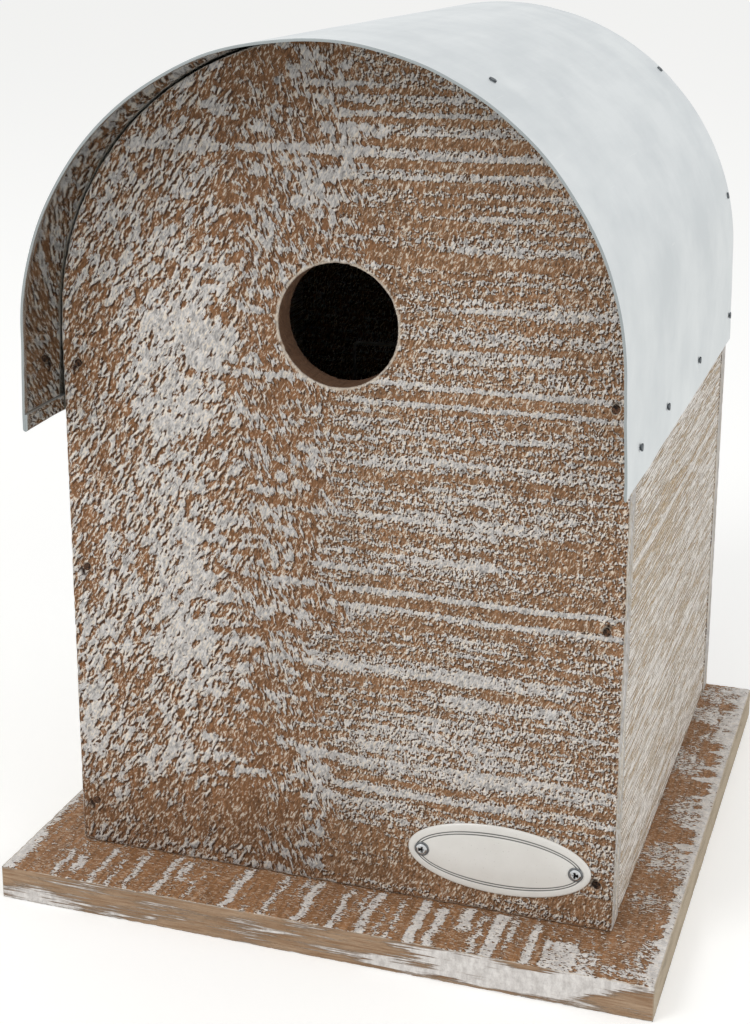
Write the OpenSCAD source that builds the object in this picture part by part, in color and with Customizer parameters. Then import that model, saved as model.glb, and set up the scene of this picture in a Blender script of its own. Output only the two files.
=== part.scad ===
// Arched birdhouse with a bent zinc roof and a hinged cleaning door at the back.
// The origin is the middle of the base board's underside. The entrance faces -Y.

/* [Body] */
// Width over the front and back boards
body_w = 154; // [144:1:180]
// Depth from the front board's face to the back board's face
body_d = 168; // [150:1:200]
// Height of the straight walls, from the base board up to the spring line of the arch
wall_h = 152; // [142:1:180]
// Thickness of the front, back and side boards
board_t = 9; // [8:0.5:11]

/* [Entrance] */
// Diameter of the entrance hole
hole_d = 32; // [26:1:46]
// Height of the entrance hole's centre above the spring line
hole_rise = 5.5; // [0:0.5:15]
// Sideways place of the entrance hole's centre
hole_x = 1; // [-5:0.5:5]

/* [Base board] */
// Thickness of the base board
base_t = 10; // [8:0.5:14]
// Overhang of the base board at each side
base_side = 15; // [8:1:25]
// Overhang of the base board in front
base_front = 21; // [10:1:35]
// Diameter of the drain holes in the floor
drain_d = 6; // [4:0.5:10]
// Distance of the drain holes from the inner faces of the boards
drain_inset = 22; // [14:1:40]

/* [Roof] */
// Thickness of the roof sheet
sheet_t = 0.7; // [0.5:0.1:1]
// Room between the bent sheet and the boards
sheet_gap = 0.2; // [0.1:0.05:0.4]
// Room between the sheet's folded hem and the side boards
hem_gap = 0.1; // [0.05:0.05:0.3]
// How far the right leg of the roof hangs below the spring line
drop_right = 29; // [20:1:40]
// How far the left leg of the roof hangs below the spring line
drop_left = 24; // [20:1:40]
// Overhang of the roof in front of the body at the right
eave_right = 16; // [8:1:25]
// Overhang of the roof in front of the body at the left
eave_left = 20; // [8:1:25]
// How far the roof's back edge stays short of the back face
roof_back = 3; // [0:0.5:5]
// Height of the hem folded inwards along the lower edges
hem_h = 4.5; // [3:0.5:8]

/* [Nails] */
// Diameter of the brads that hold the front and back boards
brad_d = 1.2; // [1:0.1:1.6]
// Length of the brads
brad_l = 25; // [18:1:30]
// Height of the lowest brad above the base board
brad_low = 13; // [10:1:20]
// Height of the middle brad above the base board
brad_mid = 84; // [60:1:100]
// Distance of the top brad below the spring line
brad_top = 10; // [6:0.5:14]
// Diameter of the roof nails
tack_d = 1.4; // [1.2:0.1:1.8]
// Length of the roof nails under the head
tack_l = 9; // [7:0.5:9]
// Height of the roof nails above the roof's lower edge
tack_rise = 9; // [7:0.5:12]
// Distance of the second side nail behind the front face
tack_second = 44; // [30:1:60]
// Distance of the third side nail behind the front face
tack_third = 98; // [80:1:120]
// Distance of the rearmost roof nails before the back face
tack_rear = 6.5; // [5:0.5:7]
// Angle of the front roof nails above the spring line
tack_front_angle = 60; // [40:1:75]
// Angle of the lower rear roof nails above the spring line
tack_rear_low = 14; // [10:1:25]
// Angle of the upper rear roof nails above the spring line
tack_rear_high = 48; // [35:1:70]

/* [Oval plate] */
// Width of the oval plate
plate_w = 50; // [40:1:60]
// Height of the oval plate
plate_h = 20; // [14:0.5:26]
// Thickness of the oval plate
plate_t = 0.8; // [0.6:0.1:1.5]
// Distance of the plate's centre from the right edge of the front board
plate_from_edge = 31; // [30:1:60]
// Height of the plate's centre above the base board
plate_rise = 15.7; // [14:0.1:30]
// Distance between the plate's two screws
plate_pitch = 42; // [30:1:44]

/* [Cleaning door] */
// Width of the back board's stile beside the door opening
stile_w = 27; // [26:1:32]
// Height of the back board's sill under the door opening
sill_h = 14; // [12:1:20]
// Height of the door opening
opening_h = 100; // [90:1:110]
// Gap between the door and its opening
door_gap = 1; // [1:0.1:1.4]
// Room between the closed door and its stop
stop_gap = 0.3; // [0.2:0.1:0.6]
// Thickness of the stop batten
stop_t = 8; // [6:0.5:10]
// Width of the stop batten
stop_w = 15; // [13:1:18]
// How far the stop batten reaches into the opening
stop_lap = 8; // [8:0.5:10]
// Radius of the finger notch in the door's free edge
notch_r = 6.5; // [5:0.5:7]
// Height of the finger notch above the door's lower edge
notch_rise = 20; // [12:1:28]

/* [Hinges] */
// Height of each hinge
leaf_h = 24; // [20:1:28]
// Width of a hinge leaf from the pin's axis
leaf_w = 12; // [11:0.5:14]
// Thickness of a hinge leaf
leaf_t = 1; // [0.8:0.1:1.2]
// Outer radius of the hinge knuckles
knuckle_r = 1.9; // [1.8:0.1:2.2]
// Radius of the hinge pin
pin_r = 1; // [0.8:0.1:1.1]
// Running clearance round the hinge pin and the turn button's screw
pin_fit = 0.05; // [0.03:0.01:0.1]
// Gap between neighbouring knuckles
knuckle_gap = 0.2; // [0.1:0.1:0.4]
// Distance of each hinge's middle from the middle of the door
hinge_reach = 30; // [24:1:34]

/* [Turn button] */
// Length of the turn button
button_l = 34; // [30:1:36]
// Width of the turn button
button_w = 9; // [8:0.5:11]
// Thickness of the turn button
button_t = 3; // [2:0.5:4]
// Distance of the button's screw from the door opening
button_offset = 8.5; // [7:0.5:10]
// Room between the button and the boards behind it
button_gap = 0.2; // [0.1:0.1:0.5]
// Diameter of the button's screw
button_screw_d = 3; // [2.5:0.5:3.5]

/* [Hanger] */
// Width of the keyhole hanger plate
hanger_w = 46; // [42:1:56]
// Height of the keyhole hanger plate
hanger_h = 28; // [25:1:34]
// Thickness of the keyhole hanger plate
hanger_t = 1.2; // [1:0.1:2]
// Distance of the keyhole's round opening below the crown of the arch
hanger_drop = 41; // [34:1:60]
// Radius of the keyhole's round opening
keyhole_r = 4.5; // [4:0.5:5]
// Radius of the keyhole's slot end
keyhole_slot_r = 2.2; // [1.8:0.1:2.4]
// Length of the keyhole's slot between the two centres
keyhole_l = 8; // [6:0.5:9]
// Depth of the pocket for the screw head behind the keyhole
pocket_depth = 6; // [5:0.5:7]
// Width of the pocket behind the keyhole
pocket_w = 13; // [12:0.5:14]
// Distance between the hanger plate's two screws
hanger_pitch = 36; // [30:1:38]

/* [Screws] */
// Diameter of the screws up through the base board
base_screw_d = 3; // [2.5:0.5:4]
// Length of the screws up through the base board
base_screw_l = 30; // [24:1:40]
// How deep their heads are sunk into the base board
base_screw_sink = 0.3; // [0.2:0.1:1]
// Distance of the outer base screws from the body's sides
base_screw_inset = 17; // [14:1:22]
// Diameter of the hinge screws
hinge_screw_d = 2.2; // [1.8:0.1:2.6]
// Length of the hinge screws
hinge_screw_l = 8; // [6:0.5:8]
// Diameter of the hanger plate's screws
hanger_screw_d = 2.6; // [2.2:0.1:3]
// Length of the hanger plate's screws in the board
hanger_screw_l = 7.3; // [6:0.1:8]
// Diameter of the oval plate's screws
plate_screw_d = 1.8; // [1.4:0.1:2.2]
// Length of the oval plate's screws in the board
plate_screw_l = 6.7; // [5:0.1:8]
// Length of the turn button's screw in the board
button_screw_l = 7; // [5:0.5:8]

/* [Hidden] */

$fn = 72;
past = 1;                 // how far a cutting shape runs past the face it opens
fix_fit = 0.02;           // radial room round a nail or screw in its own hole

base_w = body_w + 2 * base_side;
base_d = body_d + base_front;
y_front = -base_d / 2 + base_front;
y_back = y_front + body_d;
y_inner_front = y_front + board_t;
y_inner_back = y_back - board_t;
inner_x = body_w / 2 - board_t;
edge_line = body_w / 2 - board_t / 2;      // middle of a side board's thickness
spring_z = base_t + wall_h;
arch_r = body_w / 2;

sheet_inner_r = arch_r + sheet_gap;
sheet_outer_r = sheet_inner_r + sheet_t;
hem_flare = hem_gap + sheet_t - sheet_gap;      // each leg leans out to make room for its hem

opening_w = body_w - 2 * stile_w;
opening_z = base_t + sill_h;
door_w = opening_w - 2 * door_gap;
door_h = opening_h - 2 * door_gap;
door_t = board_t - stop_gap;
door_z = opening_z + door_gap;
door_mid_z = opening_z + opening_h / 2;

knuckle_lift = 0.1;                             // knuckles clear the back face by this
pin_x = -opening_w / 2 + door_gap / 2;
pin_y = y_back + knuckle_r + knuckle_lift;
knuckle_h = leaf_h / 3;
leaf_clear = 0.3;                               // room between a leaf and the other's knuckles
hinge_zs = [door_mid_z - hinge_reach, door_mid_z + hinge_reach];
hinge_screw_x = leaf_w - 4;
hinge_screw_z = leaf_h / 2 - 5;

button_x = opening_w / 2 + button_offset;
button_y = y_back + button_gap;
washer_t = 0.6;
washer_r = 3.4;
washer_gap = 0.1;

hanger_z = spring_z + arch_r - hanger_drop;
hanger_low = 9;                                 // plate below the round opening's centre

plate_x = body_w / 2 - plate_from_edge;
plate_z = base_t + plate_rise;

brad_head_d = 2;
brad_head_h = 0.8;
brad_sink = 0.2;
tack_head_d = 2;
tack_head_h = 0.4;

pine = "#a98c76";
bare_pine = "#b98f66";
zinc = "#c6cbcd";
steel = "#9a9c9e";
dark_nail = "#4a4846";
enamel = "#dcdbd4";

// ---- shapes that repeat

// A flat outline stood upright: its faces are at y and y + t, its foot on the base board
module upright(y, t) {
    translate([0, y + t, base_t]) rotate([90, 0, 0]) linear_extrude(t) children();
}

module arch_outline() {
    translate([-arch_r, 0]) square([body_w, wall_h]);
    translate([0, wall_h]) circle(r = arch_r);
}

// A round bar or hole running towards +Y
module bar_y(x, y, z, r, l) {
    translate([x, y, z]) rotate([-90, 0, 0]) cylinder(r = r, h = l);
}

// A nail with its shank along -Z and the underside of its head at the origin
module nail(d, l, head_d, head_h, room = 0) {
    translate([0, 0, -l - room]) cylinder(r = d / 2 + room, h = l + room);
    cylinder(r = head_d / 2 + room, h = head_h + (room > 0 ? past : 0));
}

// A countersunk screw with its shank along -Z and the top of its head at the origin
module flat_screw(r, l, head_r, head_h, room = 0) {
    difference() {
        union() {
            translate([0, 0, -l - room]) cylinder(r = r + room, h = l + room - head_h);
            translate([0, 0, -head_h]) cylinder(r1 = r + room, r2 = head_r + room, h = head_h);
            if (room > 0) cylinder(r = head_r + room, h = past);
        }
        if (room == 0) cross_recess(head_r, head_h * 0.6);
    }
}

// A pan-head screw with its shank along -Z and the underside of its head at the origin
module pan_screw(r, l, head_r, head_h, room = 0) {
    difference() {
        union() {
            translate([0, 0, -l - room]) cylinder(r = r + room, h = l + room);
            if (room == 0) {
                cylinder(r = head_r, h = head_h / 2);
                translate([0, 0, head_h / 2])
                    cylinder(r1 = head_r, r2 = head_r * 0.7, h = head_h / 2);
            }
        }
        if (room == 0) translate([0, 0, head_h]) cross_recess(head_r, head_h * 0.6);
    }
}

module cross_recess(head_r, depth) {
    arm = head_r * 1.1;
    for (turn = [0, 90]) rotate(turn)
        translate([-arm / 2, -arm / 8, -depth]) cube([arm, arm / 4, depth + past]);
}

// Puts a fastener's head at the back face, with its shank running towards -Y
module at_back(x, z, lift = 0) {
    translate([x, y_back + lift, z]) rotate([-90, 0, 0]) children();
}

// Puts a fastener's head at the front face, with its shank running towards +Y
module at_front(x, z, lift = 0) {
    translate([x, y_front - lift, z]) rotate([90, 0, 0]) children();
}

// ---- base board

module base_screw_places() {
    for (side = [-1, 1]) {
        for (y = [y_front + board_t / 2, y_back - board_t / 2])
            translate([side * (arch_r - base_screw_inset), y, base_screw_sink])
                rotate([180, 0, 0]) children();
        translate([side * edge_line, (y_front + y_back) / 2, base_screw_sink])
            rotate([180, 0, 0]) children();
    }
}

module base_screw(room = 0)
    flat_screw(base_screw_d / 2, base_screw_l, base_screw_d * 1.07, base_screw_d * 0.67, room);

module base_board() color(pine) difference() {
    translate([-base_w / 2, -base_d / 2, 0]) cube([base_w, base_d, base_t]);
    base_screw_places() base_screw(fix_fit);
    for (side = [-1, 1], y = [y_inner_front + drain_inset, y_inner_back - drain_inset])
        translate([side * (inner_x - drain_inset), y, -past]) cylinder(d = drain_d, h = base_t + 2 * past);
}

module base_screws() color(steel) base_screw_places() base_screw();

// ---- brads through the front and back boards into the side boards

module brad(room = 0) {
    translate([0, 0, -brad_head_h - brad_sink]) nail(brad_d, brad_l, brad_head_d, brad_head_h, room);
}

brad_zs = [base_t + brad_low, base_t + brad_mid, spring_z - brad_top];

module front_brad_places() for (side = [-1, 1], z = brad_zs) at_front(side * edge_line, z) children();
module back_brad_places() for (side = [-1, 1], z = brad_zs) at_back(side * edge_line, z) children();

module front_brads() color(dark_nail) front_brad_places() brad();
module back_brads() color(dark_nail) back_brad_places() brad();

// ---- roof nails

module tack(room = 0) nail(tack_d, tack_l, tack_head_d, tack_head_h, room);

tack_ys = [y_front + board_t / 2, y_front + tack_second, y_front + tack_third, y_back - tack_rear];

// The nails stand square to the leaning leg
module tack_side_places(side) {
    drop = side > 0 ? drop_right : drop_left;
    lean = hem_flare / (drop - hem_h);
    for (y = tack_ys) translate([side * (sheet_outer_r + (drop - tack_rise) * lean), y, spring_z - drop + tack_rise])
        rotate([0, side * (90 - atan(lean)), 0]) children();
}

module tack_arc_places(y, angles) {
    for (a = angles, side = [-1, 1]) translate([0, y, spring_z]) rotate([0, -90 + side * (90 - a), 0])
        translate([sheet_outer_r, 0, 0]) rotate([0, 90, 0]) children();
}

module tack_front_places() tack_arc_places(tack_ys[0], [tack_front_angle]) children();
module tack_back_places() tack_arc_places(tack_ys[3], [tack_rear_low, tack_rear_high]) children();

module all_tack_holes() {
    for (side = [-1, 1]) tack_side_places(side) tack(fix_fit);
    tack_front_places() tack(fix_fit);
    tack_back_places() tack(fix_fit);
}

module roof_tacks_left() color(dark_nail) tack_side_places(-1) tack();
module roof_tacks_right() color(dark_nail) tack_side_places(1) tack();
module roof_tacks_front() color(dark_nail) tack_front_places() tack();
module roof_tacks_back() color(dark_nail) tack_back_places() tack();

// ---- walls

module front_panel() color(pine) difference() {
    upright(y_front, board_t) arch_outline();
    bar_y(hole_x, y_front - past, spring_z + hole_rise, hole_d / 2, board_t + 2 * past);
    front_brad_places() brad(fix_fit);
    base_screw_places() base_screw(fix_fit);
    for (side = [-1, 1]) tack_side_places(side) tack(fix_fit);
    tack_front_places() tack(fix_fit);
    plate_screw_places() plate_screw(fix_fit);
}

module back_panel() color(pine) difference() {
    upright(y_inner_back, board_t) difference() {
        arch_outline();
        translate([-opening_w / 2, sill_h]) square([opening_w, opening_h]);
    }
    hanger_pocket();
    back_brad_places() brad(fix_fit);
    base_screw_places() base_screw(fix_fit);
    for (side = [-1, 1]) tack_side_places(side) tack(fix_fit);
    tack_back_places() tack(fix_fit);
    hinge_screw_places(-1) hinge_screw(fix_fit);
    button_place() button_screw(fix_fit);
    hanger_screw_places() hanger_screw(fix_fit);
}

module side_board(side) difference() {
    translate([side > 0 ? inner_x : -arch_r, y_inner_front, base_t])
        cube([board_t, y_inner_back - y_inner_front, wall_h]);
    front_brad_places() brad(fix_fit);
    back_brad_places() brad(fix_fit);
    base_screw_places() base_screw(fix_fit);
    tack_side_places(side) tack(fix_fit);
}

module left_side() color(pine) side_board(-1);
module right_side() color(pine) side_board(1);

// ---- roof: one bent sheet with a closed hem folded inwards along both lower edges

module roof_leg(side, drop) {
    foot = wall_h - drop;
    low_r = sheet_inner_r + hem_flare;
    mirror([side > 0 ? 0 : 1, 0]) {
        polygon([
            [sheet_inner_r, wall_h], [low_r, foot + hem_h], [low_r - sheet_t, foot + hem_h],
            [low_r - sheet_t, foot + sheet_t], [low_r + sheet_t, foot + sheet_t],
            [low_r + sheet_t, foot + hem_h], [sheet_outer_r, wall_h]]);
        translate([low_r, foot + sheet_t]) circle(r = sheet_t);
    }
}

module roof_outline() {
    difference() {
        translate([0, wall_h]) circle(r = sheet_outer_r);
        translate([0, wall_h]) circle(r = sheet_inner_r);
        translate([-body_w, wall_h - body_w]) square([2 * body_w, body_w]);
    }
    roof_leg(1, drop_right);
    roof_leg(-1, drop_left);
}

// Seen from above, the sheet's front edge runs from the left eave to the right one
module roof_plan() {
    slope = (eave_left - eave_right) / (2 * sheet_outer_r);
    reach = sheet_outer_r + hem_flare + past;
    middle = y_front - (eave_left + eave_right) / 2;
    polygon([
        [-reach, middle - slope * reach], [reach, middle + slope * reach],
        [reach, y_back - roof_back], [-reach, y_back - roof_back]]);
}

module roof_sheet() color(zinc) difference() {
    intersection() {
        upright(y_front - 2 * eave_left - eave_right, body_d + 2 * eave_left + eave_right) roof_outline();
        linear_extrude(spring_z + 2 * arch_r) roof_plan();
    }
    all_tack_holes();
}

// ---- oval plate

module plate_screw_places()
    for (side = [-1, 1]) at_front(plate_x + side * plate_pitch / 2, plate_z, plate_t) children();

module plate_screw(room = 0)
    pan_screw(plate_screw_d / 2, plate_screw_l + plate_t, plate_screw_d * 0.85, plate_screw_d * 0.3, room);

module name_plate() color(enamel) difference() {
    translate([plate_x, y_front, plate_z]) rotate([90, 0, 0]) linear_extrude(plate_t)
        polygon([for (a = [0:5:355]) [plate_w / 2 * cos(a), plate_h / 2 * sin(a)]]);
    plate_screw_places() plate_screw(fix_fit);
}

module name_plate_screws() color(steel) plate_screw_places() plate_screw();

// ---- cleaning door and its stop

module cleaning_door() color(pine) difference() {
    translate([-door_w / 2, y_back - door_t, door_z]) cube([door_w, door_t, door_h]);
    bar_y(door_w / 2, y_back - door_t - past, door_z + notch_rise, notch_r, door_t + 2 * past);
    hinge_screw_places(1) hinge_screw(fix_fit);
}

module door_stop() color(bare_pine)
    translate([opening_w / 2 - stop_lap, y_inner_back - stop_t, opening_z])
        cube([stop_w, stop_t, opening_h]);

// ---- hinges: the frame leaf has the outer knuckles, the door leaf the middle one

module hinge_screw_places(side)
    for (z = hinge_zs, dz = [-hinge_screw_z, hinge_screw_z])
        at_back(pin_x + side * hinge_screw_x, z + dz, leaf_t) children();

module hinge_screw(room = 0)
    flat_screw(hinge_screw_d / 2, hinge_screw_l, hinge_screw_d * 0.95, leaf_t, room);

module leaf_plate(side) {
    translate([side > 0 ? 0 : -leaf_w, -(knuckle_r + knuckle_lift), -leaf_h / 2])
        cube([leaf_w, leaf_t, leaf_h]);
}

module knuckle(low, high) translate([0, 0, low]) cylinder(r = knuckle_r, h = high - low);

// Room for a knuckle of the other leaf
module knuckle_room(low, high) {
    wide = knuckle_r + leaf_clear;
    translate([-wide, -wide, low]) cube([2 * wide, 2 * wide, high - low]);
}

module pin_bore() translate([0, 0, -leaf_h]) cylinder(r = pin_r + pin_fit, h = 2 * leaf_h);

module frame_leaf(z) color(steel) difference() {
    translate([pin_x, pin_y, z]) difference() {
        union() {
            leaf_plate(-1);
            knuckle(-leaf_h / 2, -knuckle_h / 2);
            knuckle(knuckle_h / 2, leaf_h / 2);
        }
        knuckle_room(-knuckle_h / 2, knuckle_h / 2);
        pin_bore();
    }
    hinge_screw_places(-1) hinge_screw(fix_fit);
}

module door_leaf(z) color(steel) difference() {
    inner = knuckle_h / 2 - knuckle_gap;
    translate([pin_x, pin_y, z]) difference() {
        union() {
            leaf_plate(1);
            knuckle(-inner, inner);
        }
        knuckle_room(-leaf_h / 2 - past, -inner);
        knuckle_room(inner, leaf_h / 2 + past);
        pin_bore();
    }
    hinge_screw_places(1) hinge_screw(fix_fit);
}

module hinge_pin(z) color(steel) translate([pin_x, pin_y, z]) {
    head_h = 0.5;
    cylinder(r = pin_r, h = leaf_h, center = true);
    for (side = [-1, 1]) translate([0, 0, side * (leaf_h + head_h) / 2])
        cylinder(r = (pin_r + knuckle_r) / 2, h = head_h, center = true);
}

module upper_hinge_frame_leaf() frame_leaf(hinge_zs[1]);
module upper_hinge_door_leaf() door_leaf(hinge_zs[1]);
module upper_hinge_pin() hinge_pin(hinge_zs[1]);
module lower_hinge_frame_leaf() frame_leaf(hinge_zs[0]);
module lower_hinge_door_leaf() door_leaf(hinge_zs[0]);
module lower_hinge_pin() hinge_pin(hinge_zs[0]);

module hinge_frame_screws() color(steel) hinge_screw_places(-1) hinge_screw();
module hinge_door_screws() color(steel) hinge_screw_places(1) hinge_screw();

// ---- turn button: drawn upright, clear of the door; a quarter turn locks the door

button_front = button_gap + button_t + washer_gap + washer_t;   // from the back face to the screw's head

module button_place() at_back(button_x, door_mid_z, button_front) children();

module button_screw(room = 0)
    pan_screw(button_screw_d / 2, button_front + button_screw_l, button_screw_d, button_screw_d * 0.6, room);

module turn_button() color(bare_pine)
    translate([button_x, button_y + button_t, door_mid_z]) rotate([90, 0, 0]) linear_extrude(button_t)
        difference() {
            straight = button_l - button_w;
            union() {
                translate([-button_w / 2, -straight / 2]) square([button_w, straight]);
                for (end = [-1, 1]) translate([0, end * straight / 2]) circle(d = button_w);
            }
            circle(r = button_screw_d / 2 + pin_fit);
        }

module turn_button_washer() color(steel) difference() {
    bar_y(button_x, y_back + button_front - washer_t, door_mid_z, washer_r, washer_t);
    button_place() button_screw(fix_fit);
}

module turn_button_screw() color(steel) button_place() button_screw();

// ---- keyhole hanger

module hanger_pocket() {
    deep = y_back - pocket_depth;
    for (z = [hanger_z, hanger_z + keyhole_l])
        bar_y(0, deep, z, pocket_w / 2, pocket_depth + past);
    translate([-pocket_w / 2, deep, hanger_z]) cube([pocket_w, pocket_depth + past, keyhole_l]);
}

module hanger_screw_places()
    for (side = [-1, 1]) at_back(side * hanger_pitch / 2, hanger_z + keyhole_l / 2, hanger_t) children();

module hanger_screw(room = 0)
    pan_screw(hanger_screw_d / 2, hanger_screw_l + hanger_t, hanger_screw_d, hanger_screw_d * 0.54, room);

module hanger_plate() color(steel) difference() {
    translate([-hanger_w / 2, y_back, hanger_z - hanger_low]) cube([hanger_w, hanger_t, hanger_h]);
    bar_y(0, y_back - past, hanger_z, keyhole_r, hanger_t + 2 * past);
    bar_y(0, y_back - past, hanger_z + keyhole_l, keyhole_slot_r, hanger_t + 2 * past);
    translate([-keyhole_slot_r, y_back - past, hanger_z])
        cube([2 * keyhole_slot_r, hanger_t + 2 * past, keyhole_l]);
    hanger_screw_places() hanger_screw(fix_fit);
}

module hanger_screws() color(steel) hanger_screw_places() hanger_screw();

// ---- the parts

base_board();
base_screws();
front_panel();
back_panel();
left_side();
right_side();
front_brads();
back_brads();
roof_sheet();
roof_tacks_left();
roof_tacks_right();
roof_tacks_front();
roof_tacks_back();
name_plate();
name_plate_screws();
cleaning_door();
door_stop();
upper_hinge_frame_leaf();
upper_hinge_door_leaf();
upper_hinge_pin();
lower_hinge_frame_leaf();
lower_hinge_door_leaf();
lower_hinge_pin();
hinge_frame_screws();
hinge_door_screws();
turn_button();
turn_button_washer();
turn_button_screw();
hanger_plate();
hanger_screws();
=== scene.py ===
import math
from functools import partial

import bmesh
import bpy
import numpy as np
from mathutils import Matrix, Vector


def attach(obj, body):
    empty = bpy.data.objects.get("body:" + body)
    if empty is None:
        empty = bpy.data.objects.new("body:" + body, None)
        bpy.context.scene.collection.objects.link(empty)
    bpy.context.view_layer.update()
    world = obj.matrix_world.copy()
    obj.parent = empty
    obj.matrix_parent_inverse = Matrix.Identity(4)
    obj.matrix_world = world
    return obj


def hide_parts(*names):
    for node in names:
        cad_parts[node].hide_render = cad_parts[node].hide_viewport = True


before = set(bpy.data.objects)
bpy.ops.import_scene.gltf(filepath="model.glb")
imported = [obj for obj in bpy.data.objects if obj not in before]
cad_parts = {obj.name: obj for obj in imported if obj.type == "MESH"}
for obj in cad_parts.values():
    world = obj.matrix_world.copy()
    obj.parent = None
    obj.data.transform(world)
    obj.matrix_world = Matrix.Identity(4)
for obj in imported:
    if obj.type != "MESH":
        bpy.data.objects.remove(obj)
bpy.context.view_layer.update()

mm = 0.001
house = "house"
door = "door"


# ---- small tools

def hexColour(code):  # sRGB hex to the linear colour that shaders want
    parts = [int(code[i:i + 2], 16) / 255 for i in (1, 3, 5)]
    return tuple(c / 12.92 if c <= 0.04045 else ((c + 0.055) / 1.055) ** 2.4 for c in parts) + (1.0,)


modeNames = {"Math": "operation", "VectorMath": "operation", "Mix": "data_type",
             "MapRange": "interpolation_type", "VectorRotate": "rotation_type"}


def addNode(tree, kind, settings=None, links=None):
    # the kind may carry a mode; settings go to inputs by name or number, or to the node
    kind, _, mode = kind.partition(" ")
    node = tree.nodes.new("ShaderNode" + kind)
    if mode:
        setattr(node, modeNames[kind], mode)
    for key, value in (settings or {}).items():
        if isinstance(value, str) and value.startswith("#"):
            value = hexColour(value)
        if key in ("From", "To"):  # both limits of a range at once
            node.inputs[key + " Min"].default_value, node.inputs[key + " Max"].default_value = value
        elif isinstance(key, int) or key in node.inputs:
            node.inputs[key].default_value = value
        else:
            setattr(node, key, value)
    if not isinstance(links, dict):  # a source on its own goes to the first input
        links = {} if links is None else {0: links}
    for key, source in links.items():  # from a socket, or from a node's first output in use
        if hasattr(source, "outputs"):
            source = next(socket for socket in source.outputs if socket.enabled)
        tree.links.new(source, node.inputs[key])
    return node


def newMaterial(name):  # the material, and addNode for its own tree
    material = bpy.data.materials.new(name)
    material.use_nodes = True
    material.node_tree.nodes.clear()
    return material, partial(addNode, material.node_tree)


def finishMaterial(material, shader):
    addNode(material.node_tree, "OutputMaterial", None, shader)
    return material


def inMm(add, place=None):  # a place on the object, in millimetres
    if place is None:
        place = add("TexCoord").outputs["Object"]
    return add("VectorMath SCALE", {"Scale": 1 / mm}, place)


def readAttribute(add, name):  # a value that the mesh carries at its vertices
    return add("Attribute", {"attribute_name": name}).outputs["Fac"]


def setMaterial(obj, material):
    obj.data.materials.clear()
    obj.data.materials.append(material)


def newPiece(name, mesh, body, material, replaced=()):
    piece = bpy.data.objects.new(name, mesh)
    bpy.context.scene.collection.objects.link(piece)
    setMaterial(piece, material)
    for polygon in mesh.polygons:
        polygon.use_smooth = True
    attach(piece, body)
    for node in replaced:
        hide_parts(node)
    return piece


def addBevel(obj, width, angle):  # softens the edges that are sharper than the angle
    bevel = obj.modifiers.new("softEdges", "BEVEL")
    bevel.width = width * mm
    bevel.segments = 2
    bevel.limit_method = "ANGLE"
    bevel.angle_limit = math.radians(angle)


def readVertices(mesh, field):  # "co" or "normal" of every vertex, one row each
    values = np.empty(len(mesh.vertices) * 3)
    mesh.vertices.foreach_get(field, values)
    return values.reshape(-1, 3)


def setAttribute(mesh, name, values):
    layer = mesh.attributes.new(name, "FLOAT", "POINT")
    layer.data.foreach_set("value", np.asarray(values, dtype=np.float32))


# ---- grain noise for the meshes

hashPrimes = (374761393, 668265263, 144665, 1274126177)  # large odd numbers that mix the bits well
word = 0xFFFFFFFF  # 32 bits


def cellHash(column, row, seed):  # an even, repeatable spread from 0 to 1, one value per corner of a cell
    mixed = (column * hashPrimes[0] + row * hashPrimes[1] + seed * hashPrimes[2]) & word
    mixed = ((mixed ^ (mixed >> 13)) * hashPrimes[3]) & word
    return ((mixed ^ (mixed >> 16)) & 0xFFFF) / 65536.0


def grainNoise(across, along, seed, octaves=1):  # gradient noise around 0, mostly within a half
    total = 0.0
    for octave in range(octaves):
        x = np.asarray(across) * 2 ** octave
        y = np.asarray(along) * 2 ** octave
        column = np.floor(x).astype(np.int64)
        row = np.floor(y).astype(np.int64)
        u = x - column
        v = y - row
        fadeU = u ** 3 * (u * (u * 6 - 15) + 10)
        fadeV = v ** 3 * (v * (v * 6 - 15) + 10)
        for i in (0, 1):
            for j in (0, 1):
                angle = 2 * np.pi * cellHash(column + i, row + j, seed + octave * 17)
                slope = (u - i) * np.cos(angle) + (v - j) * np.sin(angle)
                share = (fadeU if i else 1 - fadeU, fadeV if j else 1 - fadeV)
                total = total + slope * share[0] * share[1] / 2 ** octave
    return total


def leaning(across, along, lean):  # turns a pattern so that its long way leans right by some degrees
    c = math.cos(math.radians(lean))
    s = math.sin(math.radians(lean))
    return across * c - along * s, across * s + along * c


def ramp(value, low, high):  # 0 below low, 1 above high, smooth between
    part = np.clip((value - low) / (high - low), 0, 1)
    return part * part * (3 - 2 * part)


def hump(value, middle, half, soft):  # 1 within half of the middle, falling to 0 over soft
    return 1 - ramp(np.abs(value - middle), half, half + soft)


# ---- camera and light

cameraPlace = {
    "location": (0.15, -0.4903, 0.2689),  # metres
    "pitch": 74.386327,  # degrees
    "roll": -0.06,
    "turn": 18.837706,
    "lens": 63.3,
    "shiftX": 0.0117,
    "shiftY": -0.0981,
    "clipStart": 0.01,
}


def makeCamera():
    data = bpy.data.cameras.new("camera")
    data.lens = cameraPlace["lens"]
    data.shift_x = cameraPlace["shiftX"]
    data.shift_y = cameraPlace["shiftY"]
    data.clip_start = cameraPlace["clipStart"]
    camera = bpy.data.objects.new("camera", data)
    camera.location = cameraPlace["location"]
    camera.rotation_euler = [math.radians(cameraPlace[k]) for k in ("pitch", "roll", "turn")]
    bpy.context.scene.collection.objects.link(camera)
    bpy.context.scene.camera = camera


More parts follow.
